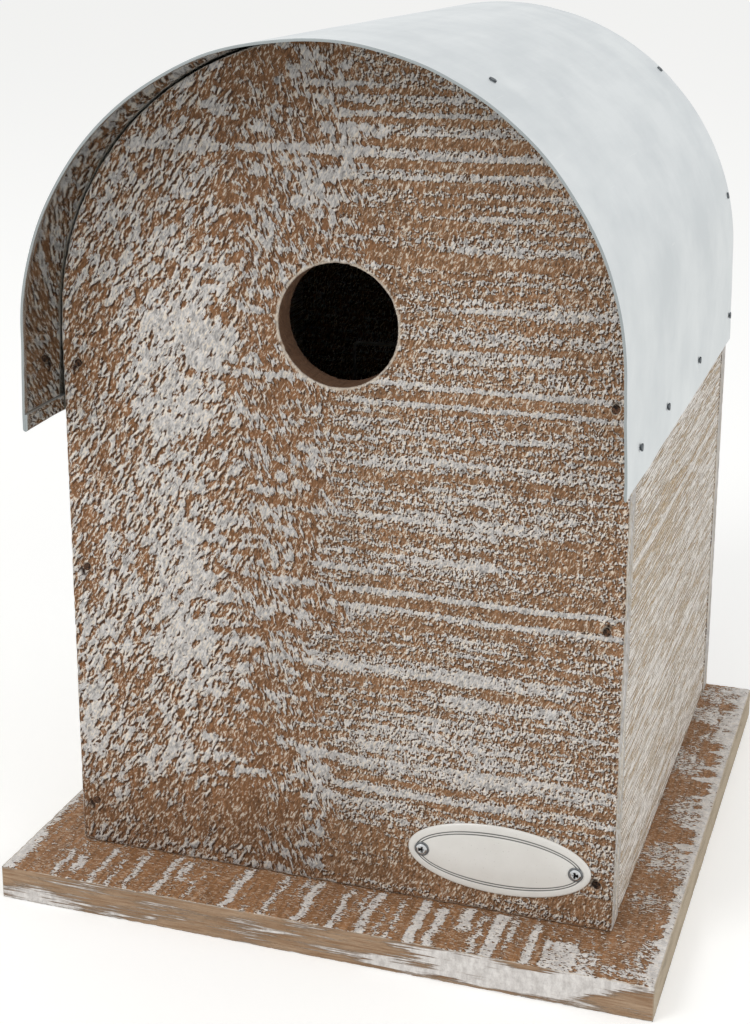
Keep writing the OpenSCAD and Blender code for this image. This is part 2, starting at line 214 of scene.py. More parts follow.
studio = {  # metres and watts
    "worldStrength": 0.66,
    "lamps": (("keyLamp", (-0.75, -1.1, 1.25), 0.7, 7.5), ("fillLamp", (1.3, -0.7, 0.8), 1.1, 4.5)),
    "aim": (0, 0, 0.11),
    "floorHalf": 12.0,
    "floorHex": "#f1f1ef",
    "floorGlow": 0.3,
}


def addLamp(name, place, size, power):
    lamp = bpy.data.lights.new(name, "AREA")
    lamp.shape = "DISK"
    lamp.size = size
    lamp.energy = power
    obj = bpy.data.objects.new(name, lamp)
    obj.location = place
    aim = Vector(studio["aim"]) - Vector(place)
    obj.rotation_euler = aim.to_track_quat("-Z", "Y").to_euler()
    bpy.context.scene.collection.objects.link(obj)


def whiteBackgroundRays(add):  # 1 for rays that see or mirror the background, 0 for the ones that light
    rays = add("LightPath")
    seen = add("Math MAXIMUM", None, {0: rays.outputs["Is Camera Ray"], 1: rays.outputs["Is Glossy Ray"]})
    return add("Math MAXIMUM", None, {0: seen, 1: rays.outputs["Is Transmission Ray"]})


def makeStudio():
    world = bpy.data.worlds.new("paleStudio")
    world.use_nodes = True
    world.node_tree.nodes.clear()
    add = partial(addNode, world.node_tree)
    strength = add("MapRange", {"To": (studio["worldStrength"], 1.0)}, whiteBackgroundRays(add))
    back = add("Background", {"Color": (1, 1, 1, 1)}, {"Strength": strength})
    add("OutputWorld", None, back)
    bpy.context.scene.world = world

    for lamp in studio["lamps"]:
        addLamp(*lamp)

    mesh = bpy.data.meshes.new("studioFloor")
    half = studio["floorHalf"]
    corners = [(-half, -half, 0), (half, -half, 0), (half, half, 0), (-half, half, 0)]
    mesh.from_pydata(corners, [], [(0, 1, 2, 3)])
    floor = bpy.data.objects.new("studioFloor", mesh)
    bpy.context.scene.collection.objects.link(floor)
    material, add = newMaterial("palePaperFloor")
    paper = add("BsdfDiffuse", {"Color": studio["floorHex"]})
    glow = add("Math MULTIPLY", {1: studio["floorGlow"]}, whiteBackgroundRays(add))
    light = add("Emission", {"Color": (1, 1, 1, 1)}, {"Strength": glow})
    setMaterial(floor, finishMaterial(material, add("AddShader", None, {0: paper, 1: light})))


makeCamera()
makeStudio()
bpy.context.scene.view_settings.view_transform = "Standard"
print("camera, lamps and floor are in place")


# ---- whitewashed pine: rough-sawn boards, stained brown, then dry-brushed with white
# The brush only reaches the high fibres, so the paint breaks up along the saw marks.

def streaks(add, place, acrossMm, alongMm, seed, detail=2.0, roughness=0.5, lean=0.0, bend=0.0):
    # noise whose grains measure acrossMm by alongMm and lean to the right
    turned = add("VectorRotate Z_AXIS", {"Angle": math.radians(lean)}, place)
    grain = (1 / acrossMm, 1 / alongMm, 1 / max(acrossMm, alongMm))
    apart = (seed * 7.3, seed * 3.1, seed * 5.7)
    sized = add("Mapping", {"Location": apart, "Scale": grain}, turned)
    noise = {"Scale": 1.0, "Detail": detail, "Roughness": roughness, "Distortion": bend}
    return add("TexNoise", noise, sized)


def fibreHeight(add, place, board, load, torn):
    # upright hairs on the sawn rows, leaning flecks where the wood is torn
    pull = board["hairPull"]
    hairs = streaks(add, place, board["hairWidth"], board["hairLength"], 4, 1.6, 0.6, board["hairLean"], 0.4)
    lifted = add("Math MULTIPLY_ADD", {1: pull, 2: -pull / 2}, hairs)
    if "fleckPull" in board:
        pull = board["fleckPull"]
        leansLeft = readAttribute(add, "leansLeft")
        width, length = board["fleckWidth"], board["fleckLength"]
        right, left = (streaks(add, place, width, length, seed, 2.6, 0.6, lean, 0.5)
                       for seed, lean in ((5, board["fleckLean"]), (6, board["backLean"])))
        flecks = add("Mix", None, {0: leansLeft, 2: right, 3: left})
        fleckLift = add("Math MULTIPLY_ADD", {1: pull, 2: -pull / 2}, flecks)
        lifted = add("Mix", None, {0: torn, 2: lifted, 3: fleckLift})
    return add("Math ADD", None, {0: load, 1: lifted})


def whitewashedPine(name, board):
    material, add = newMaterial(name)
    where = add("TexCoord")
    split = add("SeparateXYZ", None, where.outputs["Object"])
    place, edgePlace = (
        inMm(add, add("CombineXYZ", None, {i: split.outputs[board[way]] for i, way in enumerate(ways)}))
        for ways in (("across", "along", "through"), ("edgeAcross", "edgeAlong", "edgeThrough")))
    normal = add("SeparateXYZ", None, where.outputs["Normal"])
    away = add("Math ABSOLUTE", None, normal.outputs[board["through"]])
    fields = ("paintLoad", "torn", "bareWood", "nailBruise", "aged", "wornRim")
    load, torn, bareWood, slitShade, aged, rim = (readAttribute(add, field) for field in fields)

    # stained ground: brown, with darker grain; the dark pits further on are painted shadow
    broad = streaks(add, place, 26, 50, 1, 3)
    veins = streaks(add, place, 0.8, 9, 2, 4, 0.65)
    ground = add("Mix RGBA", {6: board["stainDark"], 7: board["stainLight"]}, broad)
    veinRange = (1 - board["veinDeep"], 1 + board["veinDeep"] * 0.7)
    veinShade = add("MapRange", {"From": (0.35, 0.65), "To": veinRange}, veins)
    toned = add("Mix RGBA", {7: board["tornStain"]}, {0: torn, 6: ground})
    stained = add("VectorMath SCALE", None, {0: toned, "Scale": veinShade})

    # paint sits on the raised fibres; their lower right is darkened as painted shadow and their upper left
    # lightened as painted highlight
    height = fibreHeight(add, place, board, load, torn)
    paint = add("MapRange SMOOTHSTEP", {"From": board["paintEdge"]}, height)
    reach = add("MapRange", {"To": (board["lee"], board["lee"] * 1.5)}, torn)
    upperLeft = add("VectorMath MULTIPLY_ADD", {0: (-1, 1, 0)}, {1: reach, 2: place})
    lee = fibreHeight(add, upperLeft, board, load, torn)
    lowest, highest = board["flatTop"]
    levels = []  # the flecks are flat-topped, so the light catches mostly their edges
    for value in (height, lee):
        capped = add("Clamp", {"Min": lowest, "Max": highest}, value)
        levels.append(add("Mix", {0: board["rounding"]}, {2: capped, 3: value}))
    slight, steep = board["slopes"]
    fall = add("Math SUBTRACT", None, {0: levels[1], 1: levels[0]})
    leeShadow = add("MapRange", {"From": (slight, steep), "To": (0, board["leeShadowDepth"])}, fall)
    crestHighlights = add("MapRange", {"From": (-slight, -steep), "To": (0, board["crestHighlight"])}, fall)
    # painted shadow on the lee side of the flecks, and painted shade in the nail slits
    paintedShadowMask = add("Math MAXIMUM", None, {0: leeShadow, 1: slitShade})

    whiteTone = streaks(add, place, 1.6, 3, 12, 4, 0.7)
    whiteSpread = add("MapRange", {"From": (0.36, 0.64)}, whiteTone)
    white = add("Mix RGBA", {6: board["washDark"], 7: board["washLight"]}, whiteSpread)
    brushed = add("Mix RGBA", None, {0: paint, 6: stained, 7: white})
    highlighted = add("Mix RGBA", {7: board["crestHighlightTone"]}, {0: crestHighlights, 6: brushed})
    # fine torn fibres lie over paint and bare wood alike: their tips are cream, partly pale fibre and partly
    # painted highlight, and the gaps between them are dark with painted shade
    width, length = board["fibreWidth"], board["fibreLength"]
    fibres = streaks(add, place, width, length, 9, 2, 0.6, board["fibreLean"], 0.5)
    tipsAndHighlight = add("MapRange", {"From": (0.55, 0.64), "To": (0, board["fibreTipsAndHighlight"])}, fibres)
    gapShadeRange = (1 - board["fibreGapShade"], 1.04)
    gapShade = add("MapRange", {"From": (0.3, 0.5), "To": gapShadeRange}, fibres)
    tipped = add("Mix RGBA", {7: board["fibreTone"]}, {0: tipsAndHighlight, 6: highlighted})
    # painted shade under the roof, and painted shade with darker stain along the foot, on the front board
    darker = add("MapRange", {"To": (1.0, board["shadeAndStainFactor"])}, aged)
    shade = add("Math MULTIPLY", None, {0: gapShade, 1: darker})
    gapped = add("VectorMath SCALE", None, {0: tipped, "Scale": shade})
    # the dark tone of the painted shadow goes on last
    faceColour = add("Mix RGBA", {7: board["leeShadowTone"]}, {0: paintedShadowMask, 6: gapped})

    # the narrow edges of a board are sawn smooth: paler, with fine grain
    faceMask = add("MapRange SMOOTHSTEP", {"From": (0.45, 0.8)}, away)
    width, length = board["edgeWidth"], board["edgeLength"]
    edgeGrain = streaks(add, edgePlace, width, length, 11, 4, 0.65, board["edgeLean"], 0.3)
    soft = board["edgeSoft"]
    edgeShade = add("MapRange", {"From": (0.5 - soft, 0.5 + soft)}, edgeGrain)
    edgeWood = add("Mix RGBA", {6: board["edgeDark"], 7: board["edgeLight"]}, edgeShade)
    edgePaintAt = add("Math MULTIPLY_ADD", {1: 1.6, 2: -0.8}, edgeGrain)
    edgeHeight = add("Math ADD", None, {0: edgePaintAt, 1: load})
    edgePaint = add("MapRange SMOOTHSTEP", {"From": (-0.1, 0.16)}, edgeHeight)
    edgeColour = add("Mix RGBA", None, {0: edgePaint, 6: edgeWood, 7: white})
    colour = add("Mix RGBA", None, {0: faceMask, 6: edgeColour, 7: faceColour})

    # bare wood inside drilled holes, and worn arrises that have lost their stain
    boredShade = add("Mix RGBA", {6: board["boredDark"], 7: board["boredLight"]}, veins)
    bored = add("Mix RGBA", None, {0: bareWood, 6: colour, 7: boredShade})
    offArris = add("Math SUBTRACT", {1: 0.7}, away)
    nearArris = add("Math ABSOLUTE", None, offArris)
    wear = add("MapRange SMOOTHSTEP", {"From": (0.26, 0.04), "To": (0, board["wear"])}, nearArris)
    wearSpots = streaks(add, place, 5, 5, 13, 3)
    wearOn = add("MapRange", {"From": (0.4, 0.52)}, wearSpots)
    wornArris = add("Math MULTIPLY", None, {0: wear, 1: wearOn})
    wearMask = add("Math MAXIMUM", None, {0: wornArris, 1: rim})
    worn = add("Mix RGBA", {7: board["arrisTone"]}, {0: wearMask, 6: bored})

    edgeCapped = add("Clamp", {"Min": board["edgeFloor"], "Max": highest}, edgeHeight)
    heightOnFace = add("Mix", None, {0: faceMask, 2: edgeCapped, 3: levels[0]})
    relief = add("Math MULTIPLY_ADD", {1: 0.35}, {0: fibres, 2: heightOnFace})
    rise = board["fibreRise"] * mm
    bump = add("Bump", {"Strength": board["bump"], "Distance": rise}, {"Height": relief})
    rough = add("MapRange", {"To": (0.72, 0.88)}, paint)
    shader = add("BsdfPrincipled", {"IOR": 1.47, "Specular IOR Level": 0.3},
                 {"Base Color": worn, "Roughness": rough, "Normal": bump})
    return finishMaterial(material, shader)


# ---- how each board is sawn: functions give the paint load, the torn share, the relief in mm
# and the share of torn fibres that lean to the left

def sawnRows(across, along, seed, rows):  # broken rows of saw marks
    sway = grainNoise(across / 60, along / 60, seed + 1) * 2.4
    row = along + sway
    bands = grainNoise(across / rows["length"], row / rows["pitch"], seed + 2, 2) * rows["bandPull"]
    clumps = grainNoise(across / 5, row / 2.8, seed + 3, 2) * rows["clumpPull"]
    broad = grainNoise(across / 22, row / 12, seed + 6, 2) * rows["broadPull"]
    lines = ramp(grainNoise(across / 230, row / 5.2, seed + 4), 0.30, 0.38) * rows["linePull"]
    phase = 2 * np.pi * row / rows["toothPitch"] + grainNoise(across / 45, row / 9, seed + 8) * 3
    teeth = (ramp(np.cos(phase), -0.5, 0.6) - 0.6) * rows["toothPull"]  # the even step of the saw
    return bands + clumps + broad + lines + teeth + rows["bias"]


commonRows = {  # sizes in mm, pulls in paint load
    "length": 24, "pitch": 1.9, "bandPull": 0.38, "clumpPull": 0.22, "broadPull": 0.12, "linePull": 0.28,
    "toothPitch": 2.45, "toothPull": 0.28, "bias": -0.1,
}
frontRows = dict(commonRows, linePull=0.0)
# saw rows of the front board that took the paint or missed it: height, half thickness, from x, to x, pull
frontMarks = {
    "lines": ((211.5, 1.1, -56, 54, 0.5), (206.2, 1.2, -2, 58, 0.4), (189.2, 1.3, 28, 66, 0.34),
              (174.5, 1.4, 34, 72, 0.36), (153.8, 0.6, -26, 74, 0.46), (148.6, 0.8, 4, 75, 0.4),
              (141.5, 0.6, 16, 60, 0.22), (133.5, 1.2, 2, 75, 0.32), (124.0, 1.0, 28, 44, 0.3),
              (118.4, 1.0, 2, 66, 0.32), (107.5, 0.9, 4, 44, 0.3), (102.8, 0.8, -4, 10, 0.45),
              (97.4, 0.45, -14, 76, 0.56), (92.3, 0.6, -2, 76, 0.42), (76.0, 1.8, -8, 66, 0.36),
              (69.2, 1.2, 34, 60, 0.3), (62.8, 1.0, 26, 70, 0.24), (57.4, 0.9, 4, 50, 0.26),
              (53.0, 1.0, 4, 62, 0.2), (48.6, 1.4, -10, 76, 0.34), (46.0, 0.5, 30, 76, 0.3),
              (40.6, 0.7, -30, 76, 0.5), (36.2, 0.8, -12, 18, 0.3), (20.5, 0.8, 66, 76, 0.3),
              (228.0, 0.6, -6, 22, 0.22), (224.6, 0.8, -4, 32, 0.3), (221.2, 0.8, -2, 42, 0.32),
              (217.5, 0.9, 0, 46, 0.34), (202.3, 0.6, 12, 62, 0.24), (199.8, 0.6, 14, 64, 0.22),
              (197.2, 0.6, 16, 64, 0.22), (190.2, 0.6, 2, 26, 0.26), (167.0, 0.8, 20, 72, 0.22),
              (162.8, 1.2, 30, 58, 0.28)),
    "bare": ((195.5, 3.0, 8, 34, 0.2), (183.5, 4.0, 8, 40, 0.16), (151.1, 1.0, 4, 75, 0.42),
             (129.8, 1.0, 6, 70, 0.3), (113.5, 0.8, 14, 70, 0.24), (94.9, 1.3, -2, 76, 0.46),
             (87.5, 0.8, 4, 60, 0.2), (72.4, 0.9, 0, 70, 0.3), (43.2, 1.0, -6, 76, 0.36),
             (38.2, 0.7, 2, 76, 0.3), (27.0, 3.0, -20, 10, 0.24), (16.0, 2.4, -70, 76, 0.24),
             (226.2, 0.8, -4, 28, 0.3), (222.9, 0.8, -2, 36, 0.34), (219.3, 0.9, -2, 44, 0.36),
             (214.6, 1.8, -6, 50, 0.42), (208.9, 1.3, -4, 56, 0.44), (203.9, 0.9, 12, 60, 0.34),
             (201.0, 0.5, 12, 62, 0.26), (198.5, 0.5, 12, 64, 0.26), (186.3, 1.6, -2, 68, 0.34),
             (178.2, 1.0, 18, 70, 0.22), (171.0, 1.0, 18, 72, 0.26), (165.0, 0.8, 18, 72, 0.2),
             (147.4, 0.8, 2, 76, 0.26), (110.2, 0.7, 34, 76, 0.28), (100.3, 0.9, 4, 76, 0.26),
             (89.9, 0.9, 14, 76, 0.32), (81.0, 0.8, 4, 76, 0.2)),
}
frontPatches = (  # where the brush pressed harder or missed: x, z, half sizes across and up, pull
    (38, 62, 7, 52, 0.13), (16, 44, 12, 14, 0.12), (52, 46, 22, 9, 0.12), (30, 118, 22, 16, 0.08),
    (74, 172, 5, 10, 0.16), (36, 222, 10, 8, 0.1), (14, 192, 16, 20, -0.14), (62, 186, 12, 18, -0.06),
    (66, 112, 14, 12, -0.08), (0, 20, 80, 9, -0.3), (38, 76, 11, 3, 0.3), (38, 69.5, 10, 3, 0.24),
    (22, 60.5, 14, 3.5, 0.2), (10, 76, 12, 2.5, 0.2),
)
tornPatches = (  # the same for the torn part
    (-45, 112, 14, 46, 0.1), (-43, 150, 15, 20, 0.18), (-48, 88, 11, 24, 0.15), (-40, 66, 14, 14, 0.1),
    (-62, 92, 8, 18, 0.1), (-71, 64, 8, 16, 0.1), (-71, 46, 9, 10, 0.14), (-48, 42, 9, 14, 0.14),
    (-68, 158, 9, 26, -0.1), (-70, 112, 8, 24, -0.06), (-52, 196, 22, 22, 0.04), (-22, 216, 10, 26, -0.1),
    (-32, 170, 10, 14, 0.14), (-24, 46, 14, 20, -0.16), (-14, 158, 8, 16, -0.14), (-58, 176, 12, 14, 0.06),
    (-60, 58, 6, 8, -0.14), (-72, 24, 10, 10, -0.25), (-36, 24, 30, 10, -0.28), (1, 202, 6, 7, 0.1),
    (-12, 206, 9, 4, 0.14), (0, 104, 6, 3, 0.16), (0, 80, 7, 6, 0.1), (-4, 34, 8, 8, 0.06),
    (-6, 128, 12, 40, -0.04),
)


def pressed(x, z, patches, seed):  # patches with ragged outlines
    away = grainNoise(x / 15, z / 22, seed, 3) * 0.8
    return sum(pull * (1 - ramp(np.hypot((x - px) / halfX, (z - pz) / halfZ) + away, 0.55, 1.25))
               for px, pz, halfX, halfZ, pull in patches)


def markRow(x, z, mark, seed):  # one saw row, a little wavy
    height, half, start, stop, pull = mark
    level = z * 0 + height
    wobble = grainNoise(x / 30, level, seed) * 0.9 + grainNoise(x / 3, level, seed + 1) * 0.6
    inside = ramp(x, start - 5, start + 3) * (1 - ramp(x, stop - 3, stop + 5))
    return hump(z, height + wobble, half * 0.75, 0.7) * inside * pull


tornLean = (32, -20)  # degrees to the right: torn fibres near the edge, and in the middle


def frontGrain(x, z):
    wander = grainNoise(x / 12, z / 14, 31, 3) * 14
    rowEnds = grainNoise(x / 60, z / 2.4, 32, 2) * 16  # each saw row starts at its own place
    edge = -1 + 9 * ramp(z, 150, 200)
    torn = 1 - ramp(x + wander + rowEnds, edge - 6, edge + 5)

    sawn = sawnRows(x, z, 40, frontRows) + pressed(x, z, frontPatches, 33)
    for number, mark in enumerate(frontMarks["lines"]):
        sawn = sawn + markRow(x, z, mark, 50 + number)
    for number, mark in enumerate(frontMarks["bare"]):
        sawn = sawn - markRow(x, z, mark, 80 + number)

    leansLeft = ramp(x + wander * 0.6, -31, -19)
    acrossR, alongR = leaning(x, z, tornLean[0])
    acrossL, alongL = leaning(x, z, tornLean[1])
    tornR = grainNoise(acrossR / 2.4, alongR / 8.0, 101, 2)
    tornL = grainNoise(acrossL / 2.0, alongL / 4.6, 103, 2)
    flecks = (tornR * (1 - leansLeft) + tornL * leansLeft) * 0.5
    ledges = grainNoise(x / 12, (z + x * 0.06) / 2.8, 36, 2) * ramp(x, -52, -30) * 0.55
    flecks = flecks + ledges
    tornLoad = flecks + pressed(x, z, tornPatches, 35) - 0.06
    for number, mark in enumerate(frontMarks["lines"]):
        tornLoad = tornLoad + 0.7 * markRow(x, z, mark, 50 + number)

    load = tornLoad * torn + sawn * (1 - torn)
    rows = grainNoise(x / 48, z / 1.9, 44, 2)
    relief = torn * (flecks * 0.4) + (1 - torn) * rows * 0.2
    return load, torn, relief, leansLeft


def plainGrain(seed):  # a board sawn the same way all over
    def grain(across, along):
        load = sawnRows(across, along, seed, commonRows)
        rows = grainNoise(across / 48, along / 1.9, seed + 5, 2)
        return load, across * 0, rows * 0.22, across * 0
    return grain


def sideGrain(y, z):  # finely sawn: level lines on a pale ground, the finest of them in the material
    sway = grainNoise(y / 70, z / 30, 66) * 1.6
    lines = grainNoise(y / 50, (z + sway) / 2.6, 61, 2) * 0.44
    groups = grainNoise(y / 90, (z + sway) / 9, 63) * 0.09
    ochre = (-0.12 * hump(z, 106, 10, 12) * (1 - ramp(y, 0, 40))
             - 0.1 * hump(z, 55, 4, 8) * (1 - ramp(y, 40, 80)))
    row = z + sway
    strong = (hump(row, 107.8, 0.5, 0.8) + hump(row, 56.8, 0.5, 0.8) + hump(z, 54.0, 0.4, 0.8)) * 0.5
    grooves = (hump(row, 105.4, 0.6, 0.9) + hump(row, 55.2, 0.5, 0.8) + hump(z, 110.6, 0.5, 0.9)) * 0.4
    relief = grainNoise(y / 60, z / 2.2, 64, 2) * 0.14
    return lines + groups + ochre + strong - grooves + 0.06, y * 0, relief, y * 0


baseHalf = 92  # mm, half the base board's width
baseStreaks = (  # white strokes across the front overhang: x, half width, y from, y to, pull
    (-90, 2.0, -95, -75, 0.35), (-76.5, 0.5, -95, -80, 0.6), (-72, 1.1, -90, -82, 0.6),
    (-65, 0.5, -95, -76, 0.55), (-60, 0.3, -95, -80, 0.4), (-55, 0.6, -95, -76, 0.55),
    (-46, 0.7, -95, -74, 0.6), (-42.5, 1.2, -86, -76, 0.5), (-37, 0.5, -93, -82, 0.4),
    (-25, 0.8, -95, -74, 0.6), (-13.6, 0.5, -95, -74, 0.55), (-4, 0.9, -95, -74, 0.65),
    (-7.5, 0.5, -82, -74, 0.4), (5.4, 0.6, -95, -74, 0.6), (10.5, 0.5, -84, -74, 0.45),
    (13.5, 1.0, -95, -74, 0.6), (18, 0.3, -95, -80, 0.4), (21, 0.4, -95, -74, 0.45),
    (27, 1.0, -95, -74, 0.75), (32, 0.9, -95, -76, 0.6), (39, 1.8, -84, -74, 0.6),
    (43.5, 0.7, -95, -76, 0.5), (48, 1.4, -95, -74, 0.7), (52, 0.6, -90, -76, 0.4),
    (58, 0.8, -95, -76, 0.6), (66, 4.0, -95, -82, 0.55), (73, 2.6, -95, -84, 0.45),
    (84, 6.0, -92, -89, 0.45),
)
basePatches = (  # paint left near the edges: x, y, half sizes, pull
    (84, 66, 9, 9, 0.5), (81, 33, 5, 13, 0.45), (87, 52, 7, 4, 0.4), (85, 2, 6, 12, 0.4),
    (84, -30, 6, 8, 0.35), (84, -55, 6, 8, 0.35), (90, -80, 6, 10, 0.3), (84, 86, 8, 8, 0.4),
    (-84, 40, 8, 12, 0.4), (-82, -30, 6, 16, 0.3), (-86, 78, 6, 8, 0.4),
)


def baseGrain(x, y):  # saw marks run front to back; the brush went in from the edges
    crumbs = grainNoise(x / 2.0, y / 1.1, 72, 2) * 0.45
    streak = grainNoise(x / 1.8, y / 22, 71, 2) * 0.3 - 0.36
    for number, (px, half, start, stop, pull) in enumerate(baseStreaks):
        wobble = grainNoise(y / 4, y * 0 + px, 120 + number) * 1.4
        inside = ramp(y, start - 2, start + 1) * (1 - ramp(y, stop - 1, stop + 2))
        streak = streak + pull * hump(x + wobble, px, half, 0.7) * inside
    reach = 1.6 + 7 * ramp(grainNoise(y / 4, y * 0, 75, 3), -0.2, 0.5) * (0.3 + 0.7 * ramp(y, -60, 0))
    start = baseHalf - reach
    edge = ramp(np.abs(x), start - 1, start + 0.6) * (0.6 + 0.2 * ramp(y, -60, 0))
    return (streak + crumbs + edge + pressed(x, y, basePatches, 77) + 0.1 * (1 - ramp(y, -94.5, -93)),
            x * 0, grainNoise(x / 1.9, y / 48, 74, 2) * 0.2, x * 0)


def baseEdge(x, y, z):  # front face: a pale swoosh low on the right, thin white lines elsewhere
    slant = z - 1.2 - 7.5 * ramp(x, 62, 92)
    swoosh = 0.5 * hump(slant, 3.8, 2.6, 2.6) * ramp(x + grainNoise(x / 12, z / 4, 78, 2) * 30, 8, 44)
    low = 0.34 * (1 - ramp(z, 2, 5)) * (1 - ramp(x + grainNoise(x / 7, z / 3, 76) * 20, -66, -48))
    lines = grainNoise(x / 26, (z - x * 0.03) / 2.6, 79, 2) * 0.42
    return swoosh + low + lines - 0.16


# ---- boards: the CAD shape with sawn faces, chipped arrises and softened corners

sawnBoard = {  # what the boards share; "across" runs with the saw marks, "along" from row to row; in mm
    "across": "X", "along": "Z", "through": "Y",
    "stainDark": "#77563a", "stainLight": "#a97e5a", "tornStain": "#8f6645", "veinDeep": 0.3,
    # shadeAndStainFactor: how far the front board's painted shade and darker stain take the colour down
    "shadeAndStainFactor": 0.7, "paintEdge": (-0.04, 0.05), "flatTop": (-0.12, 0.07), "slopes": (0.04, 0.16),
    "fibreRise": 0.9, "washDark": "#aaa6a3", "washLight": "#dfdbd8",
    "edgeDark": "#b9ac9b", "edgeLight": "#e2dcd3", "edgeWidth": 0.7, "edgeLength": 18, "edgeLean": 0,
    "edgeSoft": 0.14, "edgeFloor": -0.13, "edgeAcross": "Y", "edgeAlong": "Z", "edgeThrough": "X",
    "boredDark": "#5a3f2f", "boredLight": "#8b6b53", "arrisTone": "#d9cdbd",
    "hairWidth": 0.6, "hairLength": 0.85, "hairLean": 14, "hairPull": 2.8, "rounding": 0.12,
    # lee shadow and crest highlight: the painted shadow and painted highlight on the flecks
    "lee": 0.28, "leeShadowDepth": 0.85, "leeShadowTone": "#2e1d13", "crestHighlight": 0.6, "crestHighlightTone": "#fdf1e2",
    # fibre tips: pale fibre with painted highlight; fibre gaps: painted shade between the fibres
    "fibreWidth": 0.5, "fibreLength": 1.5, "fibreLean": 26, "fibreTipsAndHighlight": 0.8, "fibreGapShade": 0.5,
    "fibreTone": "#eaddcb", "wear": 0.75, "bump": 1.1, "chip": 0.9, "sway": 0.1,
}
frontBoard = dict(sawnBoard, edgeLean=-40, edgeLength=2.6, edgeWidth=0.55, edgeSoft=0.09, chip=1.2,
                  edgeDark="#bbae9c", edgeLight="#fffaf2", fleckWidth=0.9, fleckLength=2.5, fleckPull=2.1,
                  fleckLean=tornLean[0], backLean=tornLean[1])
backBoard = dict(sawnBoard, edgeDark="#cbc2b6", edgeLight="#e4ddd3", chip=0.5)
doorBoard = dict(sawnBoard, chip=0.2, sway=0.0, grow=0.4)
sideBoard = dict(sawnBoard, across="Y", through="X", edgeAcross="X", edgeThrough="Y",
                 stainDark="#a88c6a", stainLight="#cfb795", washDark="#ddd3ca", washLight="#fffbf6",
                 hairWidth=11, hairLength=0.55, hairLean=0, hairPull=2.3, rounding=0.5, lee=0.2,
                 # the side boards' painted shadow and painted highlight on the flecks are paler
                 leeShadowDepth=0.75, leeShadowTone="#7c6852", crestHighlight=0.8, crestHighlightTone="#fffaf2", bump=0.9, chip=0.5,
                 fibreWidth=2.0, fibreLength=0.5, fibreLean=0, fibreTipsAndHighlight=0.6, fibreGapShade=0.2,
                 fibreTone="#fff9f0")
baseBoard = dict(sawnBoard, along="Y", through="Z", edgeAcross="Z", edgeAlong="X", edgeThrough="Y",
                 stainDark="#7f5a3c", stainLight="#b08259", washDark="#cbc6c2", washLight="#ece8e4",
                 boredDark="#b3a38c", boredLight="#c8b9a2", edgeDark="#8f7054", edgeLight="#b99f85",
                 edgeLength=14, edgeWidth=0.5, hairWidth=1.0, hairLength=0.5, hairPull=1.9, chip=0.5,
                 sway=0.04, fibreWidth=1.2, fibreLength=0.5, fibreLean=0, fibreTipsAndHighlight=0.4, fibreGapShade=0.25)

boards = {  # node: piece, body, finish, grain, net size in mm
    "front_panel": ("frontBoard", house, frontBoard, frontGrain, 0.55),
    "back_panel": ("backBoard", house, backBoard, plainGrain(200), 1.0),
    "left_side": ("leftBoard", house, sideBoard, sideGrain, 1.1),
    "right_side": ("rightBoard", house, sideBoard, sideGrain, 0.9),
    "base_board": ("baseBoard", house, baseBoard, baseGrain, 0.8),
    "cleaning_door": ("doorBoard", door, doorBoard, plainGrain(300), 0.9),
}
entrance = {"x": 1.0, "z": 167.5, "radius": 16.0}
nailSlit = {"half": (0.75, 1.5), "lean": 22, "deep": 0.5}  # mm and degrees
nailHoles = (  # x, z and the side the slit leans to
    (72.5, 152.6, 1), (72.5, 95.0, 1), (71.5, 23.6, 1), (-73.6, 150.8, 1), (-73.8, 92.6, -1),
    (-74, 21.6, -1),
)
chipCell = 3.2  # mm
axisNumber = {"X": 0, "Y": 1, "Z": 2}


def remeshed(node, name, grid):  # the CAD node's shape as an even net of small faces
    copy = bpy.data.objects.new(name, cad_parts[node].data.copy())
    bpy.context.scene.collection.objects.link(copy)
    weld = copy.modifiers.new("weld", "WELD")
    weld.merge_threshold = 0.005 * mm
    net = copy.modifiers.new("net", "REMESH")
    net.mode = "VOXEL"
    net.voxel_size = grid
    graph = bpy.context.evaluated_depsgraph_get()
    mesh = bpy.data.meshes.new_from_object(copy.evaluated_get(graph))
    old = copy.data
    bpy.data.objects.remove(copy)
    bpy.data.meshes.remove(old)
    return mesh


def sawBoard(mesh, finish, grain):  # cuts the relief inwards only, so nothing grows into its neighbour
    points = readVertices(mesh, "co")
    normals = readVertices(mesh, "normal")
    across, along, through = (points[:, axisNumber[finish[k]]] / mm for k in ("across", "along", "through"))
    facing = np.abs(normals[:, axisNumber[finish["through"]]])
    onFace = ramp(facing, 0.5, 0.85)
    load, torn, relief, leansLeft = grain(across, along)
    if "edgeGrain" in finish:
        edgeLoad = finish["edgeGrain"](across, along, through)
    else:
        edgeLoad = grainNoise(across / 22 + through / 7, along / 22 - through / 7, 90, 2) * 0.5
    arris = np.minimum(facing, np.sqrt(np.maximum(0, 1 - facing ** 2))) / 0.7
    chips = np.clip(grainNoise(across / chipCell + 40, (along + through) / chipCell, 91, 2) - 0.1, 0, 1)
    sway = 0.5 + grainNoise(across / 25, along / 25, 92)
    depth = onFace * np.clip(0.12 - relief, 0, 0.6) + sway * finish["sway"] + chips * arris * finish["chip"]
    depth = depth - (1 - onFace) * finish.get("grow", 0)
    setAttribute(mesh, "paintLoad", load * onFace + edgeLoad * (1 - onFace))
    setAttribute(mesh, "torn", torn)
    setAttribute(mesh, "leansLeft", leansLeft)
    for layer, find in finish["marks"].items():
        values = find(points / mm, normals)
        setAttribute(mesh, layer, values)
        if layer == "nailBruise":
            depth = depth + values * nailSlit["deep"]
    points -= normals * depth[:, None] * mm
    mesh.vertices.foreach_set("co", points.ravel())
    mesh.update()


